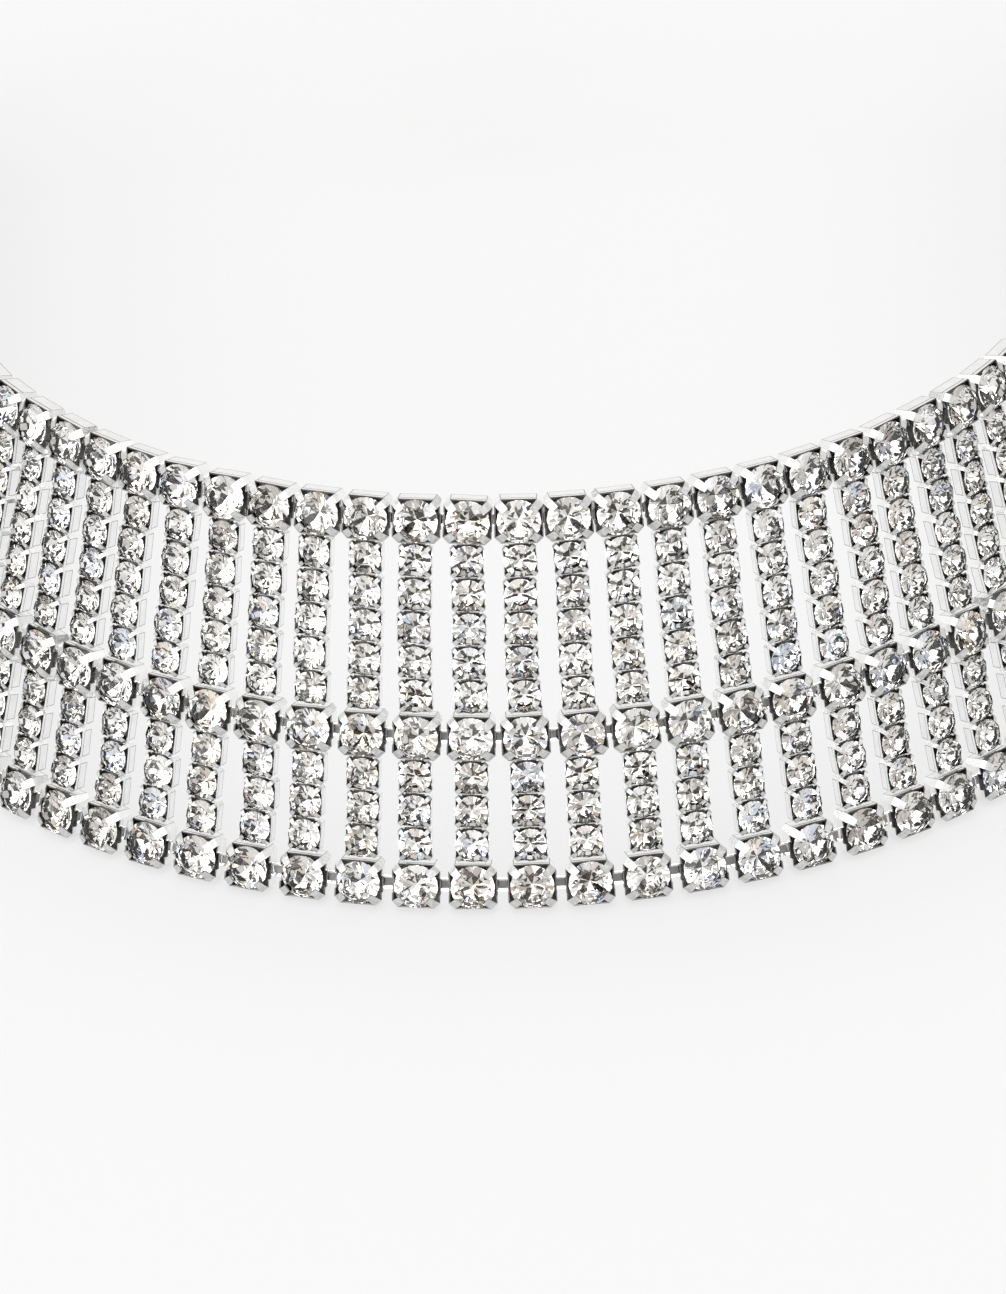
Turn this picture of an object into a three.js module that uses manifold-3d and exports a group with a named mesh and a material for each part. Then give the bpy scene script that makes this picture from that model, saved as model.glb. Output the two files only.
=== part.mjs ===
import * as THREE from "three";
import { mergeVertices } from "three/addons/utils/BufferGeometryUtils.js";
import Module from "manifold-3d";

// Choker necklace: a ladder collar of round stones in square claw cups, closed by a short chain.
// Three level rows of large cups are joined by upright strands of small cups. The band leans in
// towards its top and stands on its lower edge. Seen from above it bends round the front in half a
// circle and runs straight back on both sides. Millimetres, +Z up, the front of the collar at -Y.

const wasm = await Module();
wasm.setup();

// Counts
const columnCount = 77; // columns of stones along the band
const upperStoneCount = 5; // small stones in a strand between the top and the middle row
const lowerStoneCount = 3; // small stones in a strand between the middle and the bottom row

// The band
const bendRadius = 52.14; // of the front bend, at the faces of the top row's stones
const leanAngle = 13.67; // of the band from upright, in degrees
const topRowGap = 0.225; // between two cups of the top row
const fitGap = 0.3; // clearance between pieces that meet without being one

// Large cup and its stone
const cupWidth = 4.2; // across the rim
const cupTaper = 0.15; // how much narrower the base is than the rim, on each side
const cupWall = 1.95; // height of the rim
const faceHeight = 2.5; // from the back of the cup to the flat table of its stone
const tableWidth = 2.2;

// Small cups, drawn as one plain strand
const smallPitch = 3;
const strandWidth = 2.85;
const strandDepth = 1.75;
const strandLift = 0.15; // how far its back stands forward of the backs of the large cups
const strandBevel = 0.5;

// Flat links in a row
const linkWidth = 0.8;
const linkThickness = 0.5;
const linkLift = 0.3; // from the back of the cups

// Plain bar at each end of the band, with an eye for the chain
const endBarWidth = 3;
const endBarDepth = 1.8;
const endBarSpace = 0.6; // between the last cups and the bar
const eyeRadius = 1.7;
const eyeHoleRadius = 0.9;
const eyeThickness = 0.8;
const eyeBite = 0.5; // how far the eye reaches into its bar

// Back chain and its clasp
const chainRadius = 1.1;
const chainSag = 5; // at its middle, below the eyes
const claspLength = 11;
const claspRadius = 2.1;
const claspRound = 0.9; // rounding at both ends of the clasp

const samePoint = 1e-4; // two points closer than this are one

// Worked out from the values above
const lean = THREE.MathUtils.degToRad(leanAngle);
const pitch = cupWidth + topRowGap;
const baseWidth = cupWidth - 2 * cupTaper;
const topRow = 0;
const middleRow = topRow + cupWidth + upperStoneCount * smallPitch;
const bottomRow = middleRow + cupWidth + lowerStoneCount * smallPitch;
const lowerEdge = bottomRow + baseWidth / 2;
const quarterBend = (bendRadius * Math.PI) / 2;
const lastColumn = ((columnCount - 1) / 2) * pitch;
const endBar = lastColumn + cupWidth / 2 + endBarSpace + endBarWidth / 2;
const eyeOffset = endBarWidth / 2 + eyeRadius - eyeBite;
const eyeDown = middleRow / 2;
const frontReach = bendRadius + (bottomRow + tableWidth / 2) * Math.sin(lean);
const backReach = endBar - quarterBend + eyeOffset + Math.max(eyeRadius, claspRadius);
const bendCentre = (frontReach - backReach) / 2; // along Y, so that the origin is midway

// How far out of the bend's centre the backs of the cups lie, at a distance down the slope
const backRadius = (down) => bendRadius - faceHeight * Math.cos(lean) + down * Math.sin(lean);

// Height of that point above the surface that the collar stands on
const backHeight = (down) => (lowerEdge - down) * Math.cos(lean);

// Points and triangles of one closed surface as a solid
function closed(vertProperties, triVerts) {
  return new wasm.Manifold(new wasm.Mesh({ numProp: 3, vertProperties, triVerts }));
}

// A closed geometry as a solid that can be joined to others
function solid(geometry) {
  const bare = geometry.clone();
  bare.deleteAttribute("normal");
  bare.deleteAttribute("uv");
  const merged = mergeVertices(bare, samePoint);
  return closed(new Float32Array(merged.attributes.position.array), new Uint32Array(merged.index.array));
}

// Joins solids into one, and takes out the spare points that the joins leave on flat faces
function join(solids) {
  const whole = solids.reduce((sum, part) => sum.add(part)).getMesh();
  return closed(whole.vertProperties, whole.triVerts).simplify(samePoint);
}

// A solid as a mesh with its name and its finish
function mesh(name, body, material) {
  const faces = body.getMesh();
  const geometry = new THREE.BufferGeometry();
  geometry.setAttribute("position", new THREE.BufferAttribute(faces.vertProperties, 3));
  geometry.setIndex(new THREE.BufferAttribute(faces.triVerts, 1));
  const named = new THREE.Mesh(geometry, material);
  named.name = name;
  return named;
}

// The band's upright section at a distance along the top row from the middle of the front, to the
// right: there x runs along the band, -Y points out of it and the bend's axis is Z.
function sectionAt(distance) {
  const bent = THREE.MathUtils.clamp(distance, -quarterBend, quarterBend);
  const frame = new THREE.Matrix4().makeTranslation(0, bendCentre, 0);
  frame.multiply(new THREE.Matrix4().makeRotationZ(bent / bendRadius));
  return frame.multiply(new THREE.Matrix4().makeTranslation(distance - bent, 0, 0));
}

// The back of a cup: a point on the band
function backAt(distance, down) {
  const point = new THREE.Vector3(0, -backRadius(down), backHeight(down));
  return point.applyMatrix4(sectionAt(distance));
}

// Puts a shape, drawn with x along the band, y up the slope and z out of it, on the band
function onBand(geometry, distance, down) {
  const frame = sectionAt(distance);
  frame.multiply(new THREE.Matrix4().makeTranslation(0, -backRadius(down), backHeight(down)));
  frame.multiply(new THREE.Matrix4().makeRotationX(Math.PI / 2 - lean));
  return geometry.clone().applyMatrix4(frame);
}

// One large cup and its stone: a turned form of eight sides, whose base and rim are drawn out
// square. The table is turned by half a side, so that eight facets lead up to it.
function stoneInCup() {
  const sides = 8;
  const tableRing = 3;
  const profile = [
    new THREE.Vector2(0, 0),
    new THREE.Vector2(baseWidth / 2, 0),
    new THREE.Vector2(cupWidth / 2, cupWall),
    new THREE.Vector2(tableWidth / 2, faceHeight),
    new THREE.Vector2(0, faceHeight),
  ];
  const cup = new THREE.LatheGeometry(profile, sides);
  const points = cup.attributes.position;
  for (let i = 0; i < points.count; i++) {
    const ring = i % profile.length;
    const side = Math.floor(i / profile.length) % sides;
    const isTable = ring === tableRing;
    const angle = ((side + (isTable ? 0.5 : 0)) * 2 * Math.PI) / sides;
    const reach = profile[ring].x * (side % 2 === 1 && !isTable ? Math.SQRT2 : 1);
    points.setXYZ(i, reach * Math.sin(angle), profile[ring].y, reach * Math.cos(angle));
  }
  return cup.rotateX(Math.PI / 2);
}

// A flat bar from x = start to x = end
function flatBar(start, end) {
  const box = new THREE.BoxGeometry(end - start, linkWidth, linkThickness);
  return box.translate((start + end) / 2, 0, linkLift + linkThickness / 2);
}

// The link between two neighbouring cups, along the straight line from one to the other
function link(from, to, down) {
  const start = backAt(from, down);
  const step = backAt(to, down).sub(start);
  const frame = new THREE.Matrix4().makeTranslation(start.x, start.y, start.z);
  frame.multiply(new THREE.Matrix4().makeRotationZ(Math.atan2(step.y, step.x)));
  frame.multiply(new THREE.Matrix4().makeRotationX(Math.PI / 2 - lean));
  return flatBar(0, step.length()).applyMatrix4(frame);
}

// A strand of small cups as a straight bar down the slope, with its two outer edges bevelled
function strand(stoneCount) {
  const section = new THREE.Shape([
    new THREE.Vector2(-strandWidth / 2, 0),
    new THREE.Vector2(strandWidth / 2, 0),
    new THREE.Vector2(strandWidth / 2, strandDepth - strandBevel),
    new THREE.Vector2(strandWidth / 2 - strandBevel, strandDepth),
    new THREE.Vector2(-strandWidth / 2 + strandBevel, strandDepth),
    new THREE.Vector2(-strandWidth / 2, strandDepth - strandBevel),
  ]);
  const start = baseWidth / 2 - strandBevel;
  const depth = cupWidth / 2 + stoneCount * smallPitch - fitGap - start;
  const drawn = new THREE.ExtrudeGeometry(section, { depth, bevelEnabled: false });
  return drawn.translate(0, strandLift, start).rotateX(Math.PI / 2);
}

// A row of cups joined by links, with a tab towards each end bar, and with a strand hanging from
// each cup where there is a row below
function row(down, strandStoneCount) {
  const cup = stoneInCup();
  const hanging = strand(Math.max(strandStoneCount, 1));
  const tab = cupWidth / 2 + endBarSpace - fitGap;
  const parts = [onBand(flatBar(-tab, 0), -lastColumn, down), onBand(flatBar(0, tab), lastColumn, down)];
  for (let column = 0; column < columnCount; column++) {
    const distance = column * pitch - lastColumn;
    parts.push(onBand(cup, distance, down));
    if (strandStoneCount > 0) parts.push(onBand(hanging, distance, down));
    if (column > 0) parts.push(link(distance - pitch, distance, down));
  }
  return join(parts.map(solid));
}

// A bar at one end of the band, as tall as the band, with its foot cut level. Side is 1 or -1.
function endBarWithEye(side) {
  const top = topRow - baseWidth / 2;
  const outward = endBarDepth * Math.cos(lean);
  const upward = endBarDepth * Math.sin(lean);
  const profile = new THREE.Shape([
    new THREE.Vector2(backRadius(lowerEdge), 0),
    new THREE.Vector2(backRadius(lowerEdge) + endBarDepth / Math.cos(lean), 0),
    new THREE.Vector2(backRadius(top) + outward, backHeight(top) + upward),
    new THREE.Vector2(backRadius(top), backHeight(top)),
  ]);
  const upright = new THREE.Matrix4().makeBasis(
    new THREE.Vector3(0, -1, 0),
    new THREE.Vector3(0, 0, 1),
    new THREE.Vector3(-1, 0, 0),
  );
  const bar = new THREE.ExtrudeGeometry(profile, { depth: endBarWidth, bevelEnabled: false });
  bar.translate(0, 0, -endBarWidth / 2).applyMatrix4(sectionAt(side * endBar).multiply(upright));

  const ring = new THREE.Shape().absarc(0, 0, eyeRadius, 0, 2 * Math.PI);
  ring.holes.push(new THREE.Path().absarc(0, 0, eyeHoleRadius, 0, 2 * Math.PI));
  const sizes = { depth: eyeThickness, bevelEnabled: false, curveSegments: 6 };
  const eye = new THREE.ExtrudeGeometry(ring, sizes);
  eye.translate(side * eyeOffset, 0, (endBarDepth - eyeThickness) / 2);
  return join([solid(bar), solid(onBand(eye, side * endBar, eyeDown))]);
}

// Middle of the eye on the right
function eyeCentre() {
  const middle = new THREE.BufferGeometry();
  middle.setAttribute("position", new THREE.Float32BufferAttribute([eyeOffset, 0, endBarDepth / 2], 3));
  return new THREE.Vector3().fromBufferAttribute(onBand(middle, endBar, eyeDown).attributes.position, 0);
}

// Height of the hanging chain at a distance from the middle
function chainHeight(x, eye) {
  return eye.z - chainSag * (1 - (x / eye.x) ** 2);
}

// One half of the back chain, as a plain tube from an eye to the clasp
function halfChain(side) {
  const sides = 8;
  const steps = 14;
  const eye = eyeCentre();
  const outer = eye.x - eyeThickness / 2 - fitGap;
  const inner = claspLength / 2 + fitGap;
  const middle = (outer + inner) / 2;
  const fall = (2 * chainSag * outer) / eye.x ** 2;
  const path = new THREE.QuadraticBezierCurve3(
    new THREE.Vector3(side * outer, eye.y, chainHeight(outer, eye)),
    new THREE.Vector3(side * middle, eye.y, chainHeight(outer, eye) - fall * (outer - middle)),
    new THREE.Vector3(side * inner, eye.y, chainHeight(inner, eye)),
  );
  const corners = Array.from({ length: sides }, (_, corner) => {
    const angle = (corner * 2 * Math.PI) / sides;
    return new THREE.Vector2(chainRadius * Math.cos(angle), chainRadius * Math.sin(angle));
  });
  return new THREE.ExtrudeGeometry(new THREE.Shape(corners), { steps, extrudePath: path });
}

// The clasp, one plain barrel in the middle of the chain
function barrel() {
  const half = claspLength / 2;
  const profile = [
    new THREE.Vector2(0, -half),
    new THREE.Vector2(claspRadius - claspRound, -half),
    new THREE.Vector2(claspRadius, claspRound - half),
    new THREE.Vector2(claspRadius, half - claspRound),
    new THREE.Vector2(claspRadius - claspRound, half),
    new THREE.Vector2(0, half),
  ];
  const eye = eyeCentre();
  const turned = new THREE.LatheGeometry(profile, 12).rotateZ(Math.PI / 2);
  return turned.translate(0, eye.y, chainHeight(0, eye));
}

const silverSetStone = new THREE.MeshStandardMaterial({ color: 0xe4e7ea, roughness: 0.12, metalness: 0.85 });
const silver = new THREE.MeshStandardMaterial({ color: 0xd3d5d8, roughness: 0.2, metalness: 1 });

const choker = new THREE.Group();
choker.name = "choker_necklace";
choker.add(mesh("top_row", row(topRow, upperStoneCount), silverSetStone));
choker.add(mesh("middle_row", row(middleRow, lowerStoneCount), silverSetStone));
choker.add(mesh("bottom_row", row(bottomRow, 0), silverSetStone));
choker.add(mesh("left_end_bar", endBarWithEye(-1), silver));
choker.add(mesh("right_end_bar", endBarWithEye(1), silver));
choker.add(mesh("left_chain", solid(halfChain(-1)), silver));
choker.add(mesh("right_chain", solid(halfChain(1)), silver));
choker.add(mesh("barrel_clasp", solid(barrel()), silver));

export default choker;
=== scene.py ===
import math
import random

import bmesh
import bpy
from mathutils import Matrix, Vector


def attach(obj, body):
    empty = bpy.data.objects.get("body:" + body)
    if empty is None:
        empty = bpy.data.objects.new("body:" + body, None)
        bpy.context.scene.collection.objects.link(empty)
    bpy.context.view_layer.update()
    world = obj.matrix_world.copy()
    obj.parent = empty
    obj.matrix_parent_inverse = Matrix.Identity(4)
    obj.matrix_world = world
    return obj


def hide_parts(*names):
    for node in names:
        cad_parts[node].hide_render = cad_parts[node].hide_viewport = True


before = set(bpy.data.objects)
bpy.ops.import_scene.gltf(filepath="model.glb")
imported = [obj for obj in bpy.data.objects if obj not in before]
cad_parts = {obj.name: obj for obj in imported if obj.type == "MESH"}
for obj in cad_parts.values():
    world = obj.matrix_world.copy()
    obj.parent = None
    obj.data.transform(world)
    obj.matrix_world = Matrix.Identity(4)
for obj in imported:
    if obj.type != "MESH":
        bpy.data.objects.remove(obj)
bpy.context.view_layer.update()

random.seed(77)
toMetres = Matrix.Scale(0.001, 4)  # shapes are drawn in millimetres and placed in metres

# The collar's layout, the same as in the CAD model: three rows of large cups on a cone that bends
# round the front in half a circle and runs straight back on both sides. Lengths are in millimetres.
band = {
    "columns": 77,
    "upperStones": 5,
    "lowerStones": 3,
    "bendRadius": 52.14,  # at the faces of the top row's stones
    "bendCentre": -17.596,  # along Y
    "lean": math.radians(13.67),
    "cupWidth": 4.2,
    "baseWidth": 3.9,
    "topRowGap": 0.225,
    "faceHeight": 2.5,  # from the back of a large cup to the table of its stone
    "smallPitch": 3.0,
    "smallLift": 0.15,  # the backs of the small cups stand this far out of the large cups' backs
}
pitch = band["cupWidth"] + band["topRowGap"]
lastColumn = (band["columns"] - 1) / 2 * pitch
columns = [column * pitch - lastColumn for column in range(band["columns"])]
middleRow = band["cupWidth"] + band["upperStones"] * band["smallPitch"]
bottomRow = middleRow + band["cupWidth"] + band["lowerStones"] * band["smallPitch"]
lowerEdge = bottomRow + band["baseWidth"] / 2
quarterBend = band["bendRadius"] * math.pi / 2


def backRadius(down):
    lean = band["lean"]
    return band["bendRadius"] - band["faceHeight"] * math.cos(lean) + down * math.sin(lean)


def backHeight(down):
    return (lowerEdge - down) * math.cos(band["lean"])


# Place and direction of the band at a distance along it from the middle of the front
def sectionAt(distance):
    bent = max(-quarterBend, min(quarterBend, distance))
    centre = Matrix.Translation((0, band["bendCentre"], 0))
    turn = Matrix.Rotation(bent / band["bendRadius"], 4, "Z")
    return centre @ turn @ Matrix.Translation((distance - bent, 0, 0))


# Takes a shape drawn with x along the band, y up its slope and z out of it to its place
def onBand(distance, down):
    back = Matrix.Translation((0, -backRadius(down), backHeight(down)))
    leaning = Matrix.Rotation(math.pi / 2 - band["lean"], 4, "X")
    return toMetres @ sectionAt(distance) @ back @ leaning


# Camera, as the photograph was taken: from the front and above, with a long lens, in degrees and
# millimetres
view = {
    "lens": 438.3,
    "distance": 1388.4,
    "elevation": 27.38,
    "aimedAt": Vector((0, band["bendCentre"], 33.97)),
    "yaw": -0.071,
    "pitch": -1.471,
    "roll": -2.21,
    "turn": -0.25,
}


def placeCamera():
    up, yaw, roll = [math.radians(view[name]) for name in ("elevation", "yaw", "roll")]
    dip = math.radians(view["pitch"]) - up
    ahead = Vector((math.sin(yaw) * math.cos(dip), math.cos(yaw) * math.cos(dip), math.sin(dip)))
    across = Vector((math.cos(yaw), -math.sin(yaw), 0))
    above = across.cross(ahead)
    right = math.cos(roll) * across + math.sin(roll) * above
    top = math.cos(roll) * above - math.sin(roll) * across
    stand = Vector((0, -math.cos(up), math.sin(up))) * view["distance"]
    pose = Matrix((right, top, -ahead)).transposed().to_4x4()
    turned = Matrix.Rotation(math.radians(view["turn"]), 4, "Z")
    data = bpy.data.cameras.new("camera")
    data.lens = view["lens"]
    data.sensor_width = 36
    data.clip_start = 0.1
    data.clip_end = 20
    camera = bpy.data.objects.new("camera", data)
    place = Matrix.Translation(view["aimedAt"]) @ turned @ Matrix.Translation(stand) @ pose
    place.translation *= 0.001
    camera.matrix_world = place
    bpy.context.collection.objects.link(camera)
    bpy.context.scene.camera = camera


placeCamera()
print("camera placed")


def linear(colour):
    parts = [int(colour[i : i + 2], 16) / 255 for i in (1, 3, 5)]
    return [part / 12.92 if part <= 0.04045 else ((part + 0.055) / 1.055) ** 2.4
            for part in parts] + [1]


# Adds a node with its settings and links
def addNode(tree, kind, settings=None, links=None):
    node = tree.nodes.new("ShaderNode" + kind)
    for name, value in (settings or {}).items():
        if isinstance(name, str) and hasattr(node, name):
            setattr(node, name, value)
        else:
            node.inputs[name].default_value = value
    for name, socket in (links or {}).items():
        tree.links.new(socket, node.inputs[name])
    return node


def newMaterial(name):
    material = bpy.data.materials.new(name)
    material.use_nodes = True
    tree = material.node_tree
    tree.nodes.clear()
    return material, tree


# Rhodium-white silver plate on brass, barrel polished: neutral, with a soft haze and very fine
# scratches in the reflections
def platedBrass(name, darker, lighter, smoothest, roughest):
    material, tree = newMaterial(name)
    place = addNode(tree, "TexCoord").outputs["Object"]
    haze = addNode(tree, "TexNoise", {"Scale": 900, "Detail": 3, "Roughness": 0.6},
                   {"Vector": place})
    rough = addNode(tree, "MapRange",
                    {"From Min": 0.3, "From Max": 0.7, "To Min": smoothest, "To Max": roughest},
                    {"Value": haze.outputs["Fac"]})
    tone = addNode(tree, "ValToRGB", None, {"Fac": haze.outputs["Fac"]})
    tone.color_ramp.elements[0].position = 0.35
    tone.color_ramp.elements[0].color = linear(darker)
    tone.color_ramp.elements[1].position = 0.65
    tone.color_ramp.elements[1].color = linear(lighter)
    # Tumbling marks are about 0.02 mm apart, drawn at 0.12 mm so that they show
    marks = addNode(tree, "TexNoise", {"Scale": 8000, "Detail": 2}, {"Vector": place})
    relief = addNode(tree, "Bump", {"Strength": 0.12, "Distance": 0.00002},
                     {"Height": marks.outputs["Fac"]})
    shader = addNode(tree, "BsdfPrincipled", {"Metallic": 1.0},
                     {"Base Color": tone.outputs["Color"], "Roughness": rough.outputs["Result"],
                      "Normal": relief.outputs["Normal"]})
    addNode(tree, "OutputMaterial", None, {"Surface": shader.outputs["BSDF"]})
    return material


# Machine-cut crystal glass, high in lead, fire polished: clear, sharp facets
def crystalGlass():
    material, tree = newMaterial("clear cut crystal glass")
    place = addNode(tree, "TexCoord").outputs["Object"]
    polish = addNode(tree, "TexNoise", {"Scale": 1500, "Detail": 2}, {"Vector": place})
    rough = addNode(tree, "MapRange",
                    {"From Min": 0.45, "From Max": 0.8, "To Min": 0.0, "To Max": 0.03},
                    {"Value": polish.outputs["Fac"]})
    shader = addNode(tree, "BsdfPrincipled",
                     {"Base Color": linear("#fdfdfd"), "IOR": 1.56, "Transmission Weight": 1.0},
                     {"Roughness": rough.outputs["Result"]})
    addNode(tree, "OutputMaterial", None, {"Surface": shader.outputs["BSDF"]})
    return material


# Vacuum-coated mirror foil on the pavilion: a mirror seen through the glass, a little darker than
# silver. Its tone differs at random from facet to facet, and a few facets are tinted warm and a few
# blue: painted colour fire in place of the glass's dispersion
def mirrorFoil():
    material, tree = newMaterial("vacuum coated mirror foil")
    tint = addNode(tree, "Attribute", {"attribute_name": "facetToneAndFire"})
    tone = addNode(tree, "ValToRGB", None, {"Fac": tint.outputs["Fac"]})
    stops = tone.color_ramp
    stops.interpolation = "CONSTANT"
    stops.elements[0].color = linear("#f5f4f3")
    stops.elements[1].position = 0.3
    stops.elements[1].color = linear("#fdfdfc")
    toneAndFireSteps = ((0.55, "#e6e4e1"), (0.8, "#cbc7c2"), (0.9, "#f3eadf"), (0.95, "#dde5f3"))
    for position, colour in toneAndFireSteps:
        stops.elements.new(position).color = linear(colour)
    shader = addNode(tree, "BsdfPrincipled", {"Metallic": 1.0, "Roughness": 0.03},
                     {"Base Color": tone.outputs["Color"]})
    addNode(tree, "OutputMaterial", None, {"Surface": shader.outputs["BSDF"]})
    return material


# The inside of a cup is never polished: dull metal, painted a darker grey than the outside as the
# shade in the cups, at their cut edges and in recesses, with a random mottle for a film of setting
# lacquer
def cupInsideWithPaintedShade():
    material, tree = newMaterial("dull plate painted darker as shade inside the cups")
    place = addNode(tree, "TexCoord").outputs["Object"]
    film = addNode(tree, "TexNoise", {"Scale": 2200, "Detail": 3}, {"Vector": place})
    tone = addNode(tree, "ValToRGB", None, {"Fac": film.outputs["Fac"]})
    tone.color_ramp.elements[0].color = linear("#7a7977")
    tone.color_ramp.elements[1].color = linear("#a8a7a5")
    shader = addNode(tree, "BsdfPrincipled", {"Metallic": 1.0, "Roughness": 0.45},
                     {"Base Color": tone.outputs["Color"]})
    addNode(tree, "OutputMaterial", None, {"Surface": shader.outputs["BSDF"]})
    return material


# The claws are rubbed by the tool that bends them: satin, with fine uneven marks, in a plate painted
# darker than the cups' as shade
def brushedClawPaintedShade():
    material, tree = newMaterial("silver plate brushed by the setting tool")
    place = addNode(tree, "TexCoord").outputs["Object"]
    strokes = addNode(tree, "TexNoise", {"Scale": 3000, "Detail": 3, "Roughness": 0.7},
                      {"Vector": place})
    tone = addNode(tree, "ValToRGB", None, {"Fac": strokes.outputs["Fac"]})
    tone.color_ramp.elements[0].position = 0.35
    tone.color_ramp.elements[0].color = linear("#c3c3c2")
    tone.color_ramp.elements[1].position = 0.65
    tone.color_ramp.elements[1].color = linear("#e0e0df")
    relief = addNode(tree, "Bump", {"Strength": 0.2, "Distance": 0.00002},
                     {"Height": strokes.outputs["Fac"]})
    shader = addNode(tree, "BsdfPrincipled", {"Metallic": 1.0, "Roughness": 0.42},
                     {"Base Color": tone.outputs["Color"], "Normal": relief.outputs["Normal"]})
    addNode(tree, "OutputMaterial", None, {"Surface": shader.outputs["BSDF"]})
    return material


plate = platedBrass("polished silver plate on stamped brass", "#f2f3f3", "#fbfbfa", 0.08, 0.2)
# The bars, the chain and the clasp are bought in and plated in a darker white bronze
darkPlate = platedBrass("white bronze plate on brass wire", "#b1b0ad", "#c3c2bf", 0.12, 0.26)
inside = cupInsideWithPaintedShade()
brushedAndShaded = brushedClawPaintedShade()
glass = crystalGlass()
foil = mirrorFoil()
print("materials made")


# A large stone: a brilliant cut from a 16-sided blank. Each tier lists how many facets it has, how
# steep they are, how far round the first one is turned, and the point that they are cut through,
# as a share of the radius, at the girdle's edge.
largeStone = {
    "blankSides": 16,
    "radius": 1.91,
    "girdle": 0.1,  # thickness at the rim
    "seat": 1.92,  # height of the girdle above the back of the cup
    "table": 0.62,  # share of the radius
    "crown": [("mains", 8, 33.5, 0.0, 1.0), ("halves", 16, 39.5, 11.25, 0.9808)],
    "pavilion": [("mains", 8, 40.5, 0.0, 1.0), ("breaks", 8, 42.5, 22.5, 0.99)],
    "starSlope": 21.0,
}
smallStone = {
    "blankSides": 16,
    "radius": 1.42,
    "girdle": 0.08,
    "seat": 1.34,
    "table": 0.58,
    "crown": [("mains", 8, 33.0, 0.0, 1.0)],
    "pavilion": [("mains", 8, 40.5, 0.0, 1.0), ("breaks", 8, 42.5, 22.5, 0.99)],
    "starSlope": None,
}
weld = 0.004  # corners of facets that are nearer than this are one


# Grinds one flat facet on a stone: takes off what is beyond the plane and closes the cut
def grind(stone, slope, turn, point, upward, foiled):
    right, back = math.cos(turn), math.sin(turn)
    normal = Vector((math.sin(slope) * right, math.sin(slope) * back, math.cos(slope) * upward))
    where = Vector((point[0] * right, point[0] * back, point[1]))
    cut = bmesh.ops.bisect_plane(stone, geom=stone.verts[:] + stone.edges[:] + stone.faces[:],
                                 dist=1e-5, plane_co=where, plane_no=normal, clear_outer=True)
    rim = [edge for edge in cut["geom_cut"] if isinstance(edge, bmesh.types.BMEdge)]
    bmesh.ops.edgeloop_fill(stone, edges=rim, mat_nr=1 if foiled else 0)


def cutStone(cut):
    stone = bmesh.new()
    radius = cut["radius"]
    half = cut["girdle"] / 2
    bmesh.ops.create_cone(stone, cap_ends=True, segments=cut["blankSides"], radius1=radius,
                          radius2=radius, depth=3 * radius)
    for name, count, slope, turn, reach in cut["pavilion"]:
        for side in range(count):
            angle = math.radians(turn + side * 360 / count)
            grind(stone, math.radians(slope), angle, (radius * reach, -half), -1, True)
    for name, count, slope, turn, reach in cut["crown"]:
        for side in range(count):
            angle = math.radians(turn + side * 360 / count)
            grind(stone, math.radians(slope), angle, (radius * reach, half), 1, False)
    corner = radius * cut["table"]
    height = half + (radius - corner) * math.tan(math.radians(cut["crown"][0][2]))
    grind(stone, 0, 0, (0, height), 1, False)
    if cut["starSlope"]:
        mains = cut["crown"][0][1]
        edge = corner * math.cos(math.pi / mains)
        for side in range(mains):
            angle = math.radians((side + 0.5) * 360 / mains)
            grind(stone, math.radians(cut["starSlope"]), angle, (edge, height), 1, False)
    bmesh.ops.remove_doubles(stone, verts=stone.verts[:], dist=weld)
    bmesh.ops.recalc_face_normals(stone, faces=stone.faces[:])
    bmesh.ops.translate(stone, verts=stone.verts[:], vec=(0, 0, cut["seat"]))
    return stone


# A cup, stamped from sheet and folded up: a square box with a slot in two opposite sides, where it
# is joined to its neighbours, and corners that rise into four claws bent over the stone
largeCup = {
    "base": 3.9,
    "baseCorner": 0.35,  # how much the claw takes off each corner
    "rim": (4.2, 3.9),
    "rimCorner": 0.52,
    "wall": 1.8,
    "slot": 1.5,
    "slotFloor": 1.35,
    "sheet": 0.12,
    "claw": [(0.3, 0.34, 1.0), (0.62, 0.36, 0.85)],  # steps inward and up, and how much narrower
    "polishedRim": False,
    "paintedShadeLine": 0.07,  # width of the painted shade line round each open wall
    "turned": 0,  # degrees, to bring the slots to the neighbours
}
smallCup = {
    "base": 2.76,
    "baseCorner": 0.22,
    "rim": (2.94, 2.94),
    "rimCorner": 0.27,
    "wall": 1.2,
    "slot": 1.7,
    "slotFloor": 0.95,
    "sheet": 0.08,
    "claw": [(0.14, 0.24, 1.0), (0.44, 0.2, 0.9)],
    "polishedRim": True,
    "paintedShadeLine": 0.05,
    "turned": 90,
}


# Twelve points round a square with cut corners, two of them at the ends of each slot
def slottedRing(shape, size, corner, slot, height):
    x, y = size[0] / 2, size[1] / 2
    outline = [(x, corner - y), (x, -slot / 2), (x, slot / 2), (x, y - corner)]
    outline += [(x - corner, y), (corner - x, y)]
    outline += [(-right, -above) for right, above in outline]
    points = [shape.verts.new((right, above, height)) for right, above in outline]
    return [shape.edges.new((points[i], points[(i + 1) % 12])) for i in range(12)]


slotEdges = (1, 7)  # of a ring's twelve edges


def middleOf(edge):
    return (edge.verts[0].co + edge.verts[1].co) / 2


# An edge that an extrusion has moved, not one along its sides
def movedEdge(part, moved):
    return isinstance(part, bmesh.types.BMEdge) and all(point in moved for point in part.verts)


def acrossCorner(edge):
    run = edge.verts[0].co - edge.verts[1].co
    return min(abs(run.x), abs(run.y)) > 0.1


def bendClaw(blank, edge, cup):
    middle = middleOf(edge)
    inward = Vector((-middle.x, -middle.y, 0)).normalized()
    for step, rise, narrowing in cup["claw"]:
        made = bmesh.ops.extrude_edge_only(blank, edges=[edge])["geom"]
        edge = next(part for part in made if movedEdge(part, made))
        middle = middleOf(edge)
        for point in edge.verts:
            narrowed = middle + (point.co - middle) * narrowing
            point.co = narrowed + inward * step + Vector((0, 0, rise))
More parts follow.
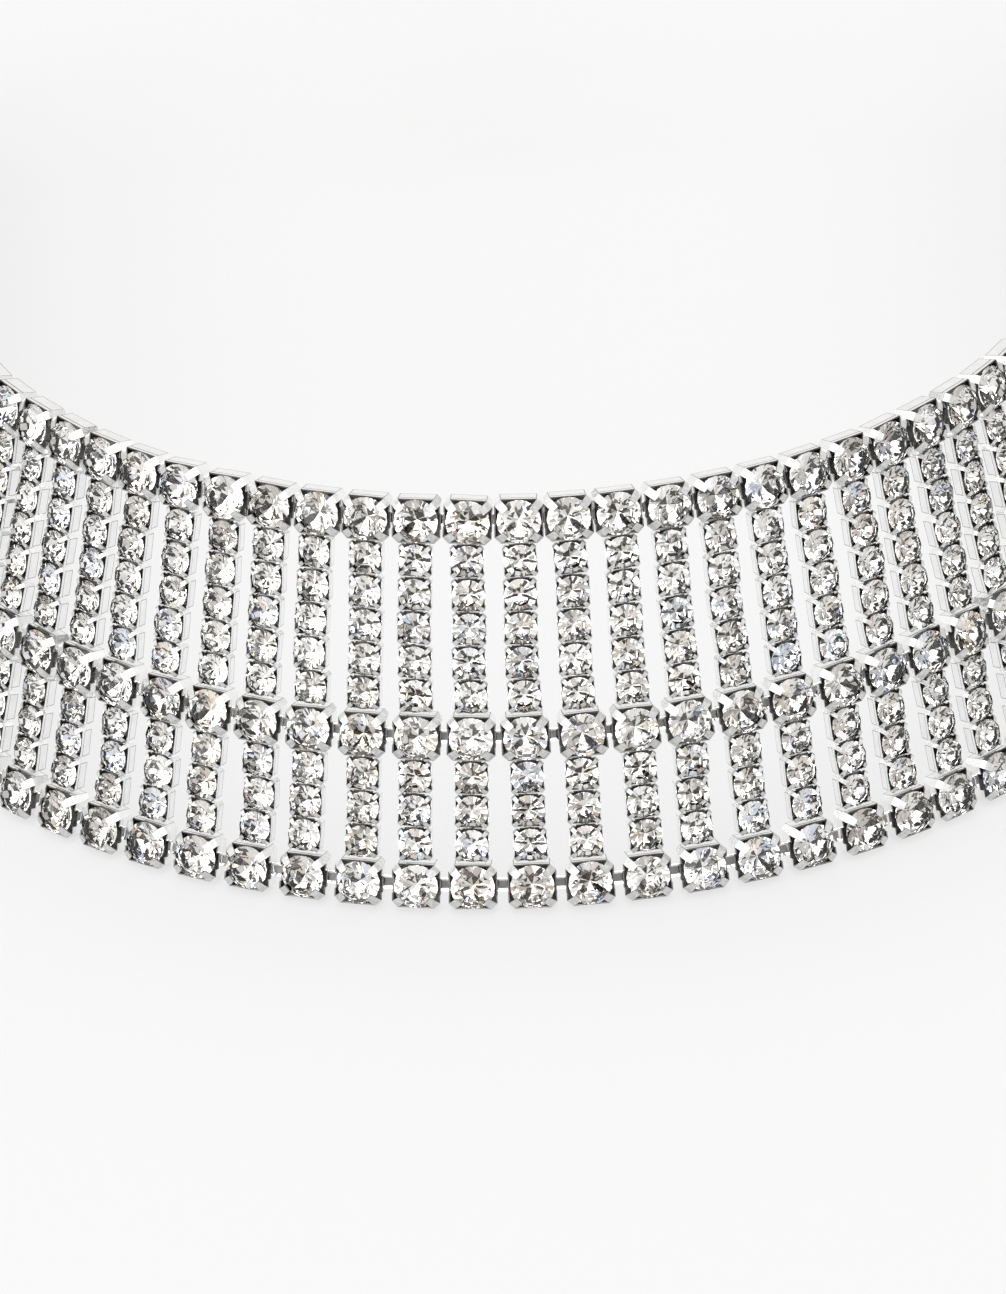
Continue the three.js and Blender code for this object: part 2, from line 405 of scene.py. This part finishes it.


# The sheet is polished outside and brushed on the claws; inside, in the slots and at its cut edges
# it takes the darker dull plate, painted shade that draws dark outlines
cupFinishAndShade = {
    "dullAndShaded": 1,  # places in the piece's list of materials
    "brushedAndShaded": 2,
    "upright": 0.9,  # how squarely a face has to look sideways
    "level": 0.6,  # and upwards, to be a floor
    "cutWidth": 1.3,  # widest cut edge, in thicknesses of the sheet
    "belowRim": 0.05,
    "belowSlot": 0.1,
    "atRim": 0.03,
    "wallArea": 1,
}


def finishAndShadeCup(blank, cup):
    rim = cup["wall"]
    for face in blank.faces:
        middle = face.calc_center_median()
        slotted = abs(face.normal.x) > cupFinishAndShade["upright"] and face.normal.x * middle.x < 0
        floored = face.normal.z > cupFinishAndShade["level"] and middle.z < rim - cupFinishAndShade["belowRim"]
        thin = min(edge.calc_length() for edge in face.edges) < cupFinishAndShade["cutWidth"] * cup["sheet"]
        cutEdge = thin and middle.z > cup["slotFloor"] - cupFinishAndShade["belowSlot"]
        if cup["polishedRim"] and abs(middle.z - rim) < cupFinishAndShade["atRim"]:
            cutEdge = False
        # Floors, slots and cut edges take the darker plate: painted shade
        if slotted or floored or cutEdge:
            face.material_index = cupFinishAndShade["dullAndShaded"]
        elif middle.z > rim + cupFinishAndShade["atRim"]:
            face.material_index = cupFinishAndShade["brushedAndShaded"]
    # A painted line of shade, in the darker dull plate, runs round the two open walls
    walls = [face for face in blank.faces if abs(face.normal.y) > cupFinishAndShade["upright"]
             and face.calc_area() > cupFinishAndShade["wallArea"]
             and face.normal.y * face.calc_center_median().y > 0]
    shadeLines = bmesh.ops.inset_individual(blank, faces=walls, thickness=cup["paintedShadeLine"],
                                       use_even_offset=True)["faces"]
    for face in shadeLines:
        face.material_index = cupFinishAndShade["dullAndShaded"]


def stampCup(cup):
    blank = bmesh.new()
    foot = slottedRing(blank, (cup["base"], cup["base"]), cup["baseCorner"], cup["slot"], 0)
    belt = slottedRing(blank, cup["rim"], cup["rimCorner"], cup["slot"], cup["slotFloor"])
    bmesh.ops.bridge_loops(blank, edges=foot + belt)
    bmesh.ops.edgeloop_fill(blank, edges=foot)
    closed = [edge for number, edge in enumerate(belt) if number not in slotEdges]
    raised = bmesh.ops.extrude_edge_only(blank, edges=closed)["geom"]
    points = [part for part in raised if isinstance(part, bmesh.types.BMVert)]
    bmesh.ops.translate(blank, verts=points, vec=(0, 0, cup["wall"] - cup["slotFloor"]))
    for edge in [part for part in raised if movedEdge(part, points) and acrossCorner(part)]:
        bendClaw(blank, edge, cup)
    bmesh.ops.recalc_face_normals(blank, faces=blank.faces[:])
    bmesh.ops.solidify(blank, geom=blank.faces[:], thickness=cup["sheet"])
    bmesh.ops.recalc_face_normals(blank, faces=blank.faces[:])
    finishAndShadeCup(blank, cup)
    turn = Matrix.Rotation(math.radians(cup["turned"]), 3, "Z")
    bmesh.ops.rotate(blank, verts=blank.verts[:], matrix=turn)
    return blank


# Joins a copy of a shape at every place into one piece
def repeated(shape, places):
    master = bpy.data.meshes.new("master")
    shape.to_mesh(master)
    whole = bmesh.new()
    for place in places:
        copied = master.copy()
        copied.transform(place)
        whole.from_mesh(copied)
        bpy.data.meshes.remove(copied)
    bpy.data.meshes.remove(master)
    return whole


# Adds one shape at its place to a piece in the making
def addTo(whole, shape, place):
    mesh = bpy.data.meshes.new("added")
    shape.to_mesh(mesh)
    shape.free()
    mesh.transform(place)
    whole.from_mesh(mesh)
    bpy.data.meshes.remove(mesh)


def finished(name, shape, materials, slotName, *nodes):
    mesh = bpy.data.meshes.new(name)
    shape.to_mesh(mesh)
    shape.free()
    for material in materials:
        mesh.materials.append(material)
    piece = bpy.data.objects.new(name, mesh)
    bpy.context.collection.objects.link(piece)
    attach(piece, "root")
    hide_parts(*nodes)
    return piece


# Facets differ at random in tone, and a few take warm and blue tints: painted colour fire in place
# of dispersion
def paintFacetToneAndFire(piece):
    values = [random.random() for facet in piece.data.polygons]
    piece.data.attributes.new("facetToneAndFire", "FLOAT", "FACE").data.foreach_set("value", values)


# Every stone sits a little askew in its cup and is turned at random, in degrees
seating = {"tilt": 1.8, "turn": 45}


def askew():
    tilt = Matrix.Rotation(math.radians(random.gauss(0, seating["tilt"])), 4, "X")
    roll = Matrix.Rotation(math.radians(random.gauss(0, seating["tilt"])), 4, "Y")
    turn = Matrix.Rotation(math.radians(random.uniform(0, seating["turn"])), 4, "Z")
    return tilt @ roll @ turn


def aboutGirdle(cut):
    girdle = Matrix.Translation((0, 0, cut["seat"]))
    return girdle @ askew() @ girdle.inverted()


# The cups are joined by hand, so none is quite straight: turned in degrees, shifted and bowed in
# millimetres. The lowest row stands on the floor and isn't turned.
slack = {"turned": 1.6, "shifted": 0.05, "bowed": 0.13}


def loose(turned):
    return Matrix.Rotation(math.radians(random.gauss(0, turned)), 4, "Z")


def rowPlaces(down):
    turned = 0 if down == bottomRow else slack["turned"]
    return [onBand(distance + random.gauss(0, slack["shifted"]), down) @ loose(turned)
            for distance in columns]


def strandPlaces(firstRow, count):
    places = []
    lift = Matrix.Translation((0, 0, band["smallLift"]))
    for distance in columns:
        bow = random.gauss(0, slack["bowed"])
        for step in range(count):
            along = (step + 0.5) / count
            aside = bow * math.sin(math.pi * along) + random.gauss(0, slack["shifted"])
            down = firstRow + band["cupWidth"] / 2 + along * count * band["smallPitch"]
            places.append(onBand(distance + aside, down) @ lift @ loose(slack["turned"]))
    return places


largeCupShape = stampCup(largeCup)
smallCupShape = stampCup(smallCup)
largeStoneShape = cutStone(largeStone)
smallStoneShape = cutStone(smallStone)
print("large cup", len(largeCupShape.faces), "small cup", len(smallCupShape.faces),
      "large stone", len(largeStoneShape.faces), "small stone", len(smallStoneShape.faces))

# Strings the settings of one row or of the strands below it, and puts a stone into each
def setStones(name, places, cupShape, stoneShape, cut, node):
    cups = repeated(cupShape, places)
    finished(name + "Cups", cups, [plate, inside, brushedAndShaded], "set_stones", node)
    stones = repeated(stoneShape, [place @ aboutGirdle(cut) for place in places])
    paintFacetToneAndFire(finished(name + "Stones", stones, [glass, foil], "clear_stone", node))


rows = [
    ("topRow", 0, "top_row"),
    ("middleRow", middleRow, "middle_row"),
    ("bottomRow", bottomRow, "bottom_row"),
]
for row, down, node in rows:
    setStones(row, rowPlaces(down), largeCupShape, largeStoneShape, largeStone, node)
print("rows of large stones made")

for strand, down, count, node in (("upperStrand", 0, band["upperStones"], "top_row"),
                                  ("lowerStrand", middleRow, band["lowerStones"], "middle_row")):
    setStones(strand, strandPlaces(down, count), smallCupShape, smallStoneShape, smallStone, node)
print("strands of small stones made")

# Flat links between the cups of a row, cut from strip, with a raised frame round a sunk middle
# painted dark as shade
rowLink = {
    "width": 1.2,
    "shorter": 3.7,  # than the way from cup to cup
    "thickness": 0.4,
    "lift": 0.78,  # above the backs of the cups
    "bevel": 0.05,
    "frame": 0.2,
    "sunk": 0.15,
}


def makeLinks(name, down, node):
    whole = bmesh.new()
    for first, second in zip(columns, columns[1:]):
        start = onBand(first, down).translation * 1000
        step = onBand(second, down).translation * 1000 - start
        size = (step.length - rowLink["shorter"], rowLink["width"], rowLink["thickness"])
        middle = (step.length / 2, 0, rowLink["lift"] + rowLink["thickness"] / 2)
        bar = bmesh.new()
        bmesh.ops.create_cube(bar, size=1)
        bmesh.ops.scale(bar, verts=bar.verts[:], vec=size)
        bmesh.ops.bevel(bar, geom=bar.edges[:], offset=rowLink["bevel"], offset_type="OFFSET",
                        segments=1, profile=0.5, affect="EDGES", material=-1)
        front = [face for face in bar.faces if face.normal.z > 0.99]
        bmesh.ops.inset_region(bar, faces=front, thickness=rowLink["frame"], depth=-rowLink["sunk"],
                               use_even_offset=True)
        # The sunk middle takes the darker plate: painted shade in the recess
        for face in front:
            face.material_index = 1
        bmesh.ops.translate(bar, verts=bar.verts[:], vec=middle)
        turned = Matrix.Translation(start) @ Matrix.Rotation(math.atan2(step.y, step.x), 4, "Z")
        addTo(whole, bar, toMetres @ turned @ Matrix.Rotation(math.pi / 2 - band["lean"], 4, "X"))
    finished(name, whole, [plate, inside], "set_stones", node)


for row, down, node in rows:
    makeLinks(row + "Links", down, node)
print("links made")


# A plain bar at each end of the band, cut from strip with rounded edges and a level foot, with a
# round eye soldered to its inner side
endBar = {
    "width": 3.0,
    "depth": 1.8,
    "space": 0.6,  # between the last cups and the bar
    "edge": 0.35,  # rounding
    "eyeRing": 1.3,
    "eyeWire": 0.4,
    "eyeBite": 0.5,  # how far the eye reaches into the bar
}
barDistance = columns[-1] + band["cupWidth"] / 2 + endBar["space"] + endBar["width"] / 2
eyeOffset = endBar["width"] / 2 + endBar["eyeRing"] + endBar["eyeWire"] - endBar["eyeBite"]
eyeDown = middleRow / 2
eye = onBand(barDistance, eyeDown) @ Vector((eyeOffset, 0, endBar["depth"] / 2)) * 1000


def smooth(shape):
    for face in shape.faces:
        face.smooth = True


# A ring of round wire about the origin, lying flat
def wireRing(ring, wire, steps=20, sides=8):
    shape = bmesh.new()
    bmesh.ops.create_circle(shape, segments=sides, radius=wire)
    bmesh.ops.rotate(shape, verts=shape.verts[:], matrix=Matrix.Rotation(math.pi / 2, 3, "X"))
    bmesh.ops.translate(shape, verts=shape.verts[:], vec=(ring, 0, 0))
    bmesh.ops.spin(shape, geom=shape.verts[:] + shape.edges[:], cent=(0, 0, 0), axis=(0, 0, 1),
                   angle=2 * math.pi, steps=steps, use_merge=True)
    bmesh.ops.recalc_face_normals(shape, faces=shape.faces[:])
    smooth(shape)
    return shape


def makeEndBar(name, side, node):
    whole = bmesh.new()
    top = -band["baseWidth"] / 2
    lean = band["lean"]
    depth = endBar["depth"]
    profile = [
        (backRadius(lowerEdge), 0),
        (backRadius(lowerEdge) + depth / math.cos(lean), 0),
        (backRadius(top) + depth * math.cos(lean), backHeight(top) + depth * math.sin(lean)),
        (backRadius(top), backHeight(top)),
    ]
    corners = [whole.verts.new((-endBar["width"] / 2, -out, up)) for out, up in profile]
    section = whole.faces.new(corners)
    pulled = bmesh.ops.extrude_face_region(whole, geom=[section])["geom"]
    ends = [part for part in pulled if isinstance(part, bmesh.types.BMVert)]
    bmesh.ops.translate(whole, verts=ends, vec=(endBar["width"], 0, 0))
    bmesh.ops.recalc_face_normals(whole, faces=whole.faces[:])
    # The edges of the foot, on the floor, stay sharp
    upper = [edge for edge in whole.edges if max(point.co.z for point in edge.verts) > 0.01]
    bmesh.ops.bevel(whole, geom=upper, offset=endBar["edge"], offset_type="OFFSET", segments=3,
                    profile=0.5, affect="EDGES", material=-1)
    middle = toMetres @ sectionAt(side * barDistance)
    bmesh.ops.transform(whole, matrix=middle, verts=whole.verts[:])
    inner = Matrix.Translation((side * eyeOffset, 0, depth / 2))
    addTo(whole, wireRing(endBar["eyeRing"], endBar["eyeWire"]),
          onBand(side * barDistance, eyeDown) @ inner)
    finished(name, whole, [darkPlate], "silver_plate", node)


makeEndBar("leftEndBar", -1, "left_end_bar")
makeEndBar("rightEndBar", 1, "right_end_bar")
print("end bars made")

# The back chain: oval cable links between the eyes and the clasp, hanging in a shallow curve
chain = {
    "sag": 5.0,
    "wire": 0.26,  # radius of the wire
    "ring": 0.78,  # radius of a link's round ends, at the middle of the wire
    "stretch": 0.62,  # how far each end is drawn out
    "jumpRing": 1.25,
    "jumpInset": 0.5,  # from the eye's middle to the jump ring's, towards the clasp
    "behindEye": 0.95,  # and towards the back, where the chain bends off near its end
    "bend": 12,  # the higher, the nearer to the eye
    "samples": 400,  # along the curve, for placing the links
    "twist": 0.12,  # how much the links differ, in radians
}
clasp = {
    "length": 9.6,
    "radius": 2.1,
    "round": 0.9,
    "groove": 0.18,  # depth
    "grooveFloor": 0.3,  # half widths
    "grooveMouth": 0.45,
    "loop": 0.75,  # ring at each end, for the last link
    "loopOut": 0.45,  # from the end to the ring's middle
}


def chainPoint(x):
    drawn = eye.y + chain["behindEye"] * (abs(x) / eye.x) ** chain["bend"]
    return Vector((x, drawn, eye.z - chain["sag"] * (1 - (x / eye.x) ** 2)))


# Middles and directions of a number of links, evenly spaced along a path of points
def spacedAlong(path, count):
    length = sum((b - a).length for a, b in zip(path, path[1:]))
    marks = []
    walked = 0
    for a, b in zip(path, path[1:]):
        walked += (b - a).length
        while len(marks) < count and walked >= (len(marks) + 0.5) * length / count:
            marks.append(((a + b) / 2, (b - a).normalized()))
    return marks


def makeChain(name, side, node):
    link = wireRing(chain["ring"], chain["wire"], steps=16, sides=6)
    for point in link.verts:
        point.co.x += math.copysign(chain["stretch"], point.co.x) if abs(point.co.x) > 1e-4 else 0
    inner = 2 * (chain["ring"] + chain["stretch"] - chain["wire"])
    start = clasp["length"] / 2 + clasp["loop"]
    stop = eye.x - chain["jumpInset"] - chain["jumpRing"]
    steps = chain["samples"]
    path = [chainPoint(start + (stop - start) * step / steps) for step in range(steps + 1)]
    length = sum((b - a).length for a, b in zip(path, path[1:]))
    places = []
    # Each link stands square to the one before
    for index, (point, along) in enumerate(spacedAlong(path, round(length / inner))):
        yaw = Matrix.Rotation(math.atan2(along.y, along.x), 4, "Z")
        climb = Matrix.Rotation(-math.asin(along.z), 4, "Y")
        quarter = math.pi / 4 + index % 2 * math.pi / 2
        roll = Matrix.Rotation(quarter + random.gauss(0, chain["twist"]), 4, "X")
        places.append(toMetres @ Matrix.Translation(point) @ (yaw @ climb) @ roll)
    mirror = Matrix.Scale(side, 4, (1, 0, 0))
    whole = repeated(link, [mirror @ place for place in places])
    jump = wireRing(chain["jumpRing"], chain["wire"], sides=6)
    hung = Matrix.Translation((eye.x - chain["jumpInset"], eye.y + chain["behindEye"], eye.z))
    addTo(whole, jump, mirror @ toMetres @ hung)
    bmesh.ops.recalc_face_normals(whole, faces=whole.faces[:])
    finished(name, whole, [darkPlate], "silver_plate", node)


makeChain("leftChain", -1, "left_chain")
makeChain("rightChain", 1, "right_chain")


def makeClasp():
    whole = bmesh.new()
    half = clasp["length"] / 2
    radius = clasp["radius"]
    curve = clasp["round"]
    turns = [step * math.pi / 12 for step in range(7)]
    arc = [(radius - curve + curve * math.sin(turn), curve - curve * math.cos(turn) - half)
           for turn in turns]
    floor = radius - clasp["groove"]
    mouth, bottom = clasp["grooveMouth"], clasp["grooveFloor"]
    waist = [(radius, -mouth), (floor, -bottom), (floor, bottom), (radius, mouth)]
    mirrored = [(out, -along) for out, along in reversed(arc)]
    profile = [(0, -half)] + arc + waist + mirrored + [(0, half)]
    points = [whole.verts.new((along, 0, out)) for out, along in profile]
    rails = [whole.edges.new(pair) for pair in zip(points, points[1:])]
    bmesh.ops.spin(whole, geom=points + rails, cent=(0, 0, 0), axis=(1, 0, 0), angle=2 * math.pi,
                   steps=32, use_merge=True)
    bmesh.ops.remove_doubles(whole, verts=whole.verts[:], dist=1e-4)
    smooth(whole)
    middle = chainPoint(0)
    bmesh.ops.translate(whole, verts=whole.verts[:], vec=middle)
    upright = Matrix.Rotation(math.pi / 2, 4, "X")
    for side in (-1, 1):
        loop = wireRing(clasp["loop"], chain["wire"], steps=16)
        out = Vector((side * (half + clasp["loopOut"]), 0, 0))
        addTo(whole, loop, Matrix.Translation(middle + out) @ upright)
    bmesh.ops.transform(whole, matrix=toMetres, verts=whole.verts[:])
    bmesh.ops.recalc_face_normals(whole, faces=whole.faces[:])
    finished("barrelClasp", whole, [darkPlate], "silver_plate", "barrel_clasp")


makeClasp()
print("back chain and clasp made")


# Pale seamless paper under soft studio light, in metres and degrees
studio = {
    "floorSize": 8.0,
    "paperGlow": 0.676,
    "world": 0.1,
    "distance": 2.5,
    "overhead": (14, 2.6),  # angle from the middle to the edges, brightness
    # Soft boxes all round, bright and dim, which the facets show as white and grey. Each fills a
    # part of the sky: azimuth from and to, elevation from and to, brightness
    "panels": [
        (-31, 31, 15, 30, 0.8),
        (-31, 31, 30, 45, 2.4),
        (-31, 31, 45, 75, 2.8),
        (31, 62, 0, 15, 1.3),
        (31, 62, 15, 60, 0.6),
        (-62, -31, 0, 30, 3.0),
        (-62, -31, 30, 42, 0.9),
        (-62, -31, 42, 60, 3.0),
        (62, 96, 0, 11, 3.4),
        (62, 96, 11, 26, 0.9),
        (62, 105, 28, 60, 0.75),
        (-96, -62, 0, 11, 3.8),
        (-96, -62, 11, 26, 1.0),
        (-105, -62, 28, 60, 1.2),
        (31, 105, 60, 78, 1.3),
        (-105, -31, 60, 78, 1.6),
        (96, 155, 0, 28, 0.85),
        (155, 205, 0, 28, 0.82),
        (-155, -96, 0, 28, 0.85),
        (105, 155, 28, 45, 0.9),
        (155, 205, 28, 45, 1.0),
        (-155, -105, 28, 45, 0.9),
        (105, 180, 45, 75, 2.6),
        (180, 255, 45, 75, 2.6),
    ],
}


def seamlessPaper():
    material, tree = newMaterial("matt white seamless paper")
    place = addNode(tree, "TexCoord").outputs["Object"]
    fibre = addNode(tree, "TexNoise", {"Scale": 2500, "Detail": 2}, {"Vector": place})
    tone = addNode(tree, "ValToRGB", None, {"Fac": fibre.outputs["Fac"]})
    tone.color_ramp.elements[0].color = linear("#666666")
    tone.color_ramp.elements[1].color = linear("#6a6a6a")
    # It lies on a light table that shines through it
    shader = addNode(tree, "BsdfPrincipled",
                     {"Roughness": 0.9, "Specular IOR Level": 0.2,
                      "Emission Color": linear("#ffffff"), "Emission Strength": studio["paperGlow"]},
                     {"Base Color": tone.outputs["Color"]})
    addNode(tree, "OutputMaterial", None, {"Surface": shader.outputs["BSDF"]})
    return material


# An area lamp that looks at the collar. Lamps of this power show as surfaces of this brightness.
def addSoftBox(turn, tilt, width, height, brightness):
    data = bpy.data.lights.new("soft box", "AREA")
    data.shape = "RECTANGLE"
    data.size = width
    data.size_y = height
    data.energy = brightness * math.pi * data.size * data.size_y
    lamp = bpy.data.objects.new("soft box", data)
    level = math.cos(tilt)
    away = Vector((math.sin(turn) * level, -math.cos(turn) * level, math.sin(tilt)))
    lamp.location = away * studio["distance"]
    lamp.rotation_euler = (-away).to_track_quat("-Z", "Y").to_euler()
    bpy.context.collection.objects.link(lamp)


def lightStudio():
    floor = bmesh.new()
    bmesh.ops.create_grid(floor, x_segments=1, y_segments=1, size=studio["floorSize"] / 2)
    mesh = bpy.data.meshes.new("floor")
    floor.to_mesh(mesh)
    floor.free()
    mesh.materials.append(seamlessPaper())
    paper = bpy.data.objects.new("floor", mesh)
    bpy.context.collection.objects.link(paper)
    world = bpy.data.worlds.new("studio")
    world.use_nodes = True
    background = world.node_tree.nodes["Background"]
    background.inputs["Color"].default_value = linear("#fff6ec")
    background.inputs["Strength"].default_value = studio["world"]
    bpy.context.scene.world = world
    reach = 2 * studio["distance"]
    for left, right, low, high, brightness in studio["panels"]:
        turn = math.radians(left + right) / 2
        tilt = math.radians(low + high) / 2
        width = reach * math.tan(math.radians(right - left) / 2) * math.cos(tilt)
        height = reach * math.tan(math.radians(high - low) / 2)
        addSoftBox(turn, tilt, width, height, brightness)
    angle, brightness = studio["overhead"]
    side = reach * math.tan(math.radians(angle))
    addSoftBox(0, math.pi / 2, side, side, brightness)
    bpy.context.scene.view_settings.view_transform = "Standard"


lightStudio()
print("studio lit")
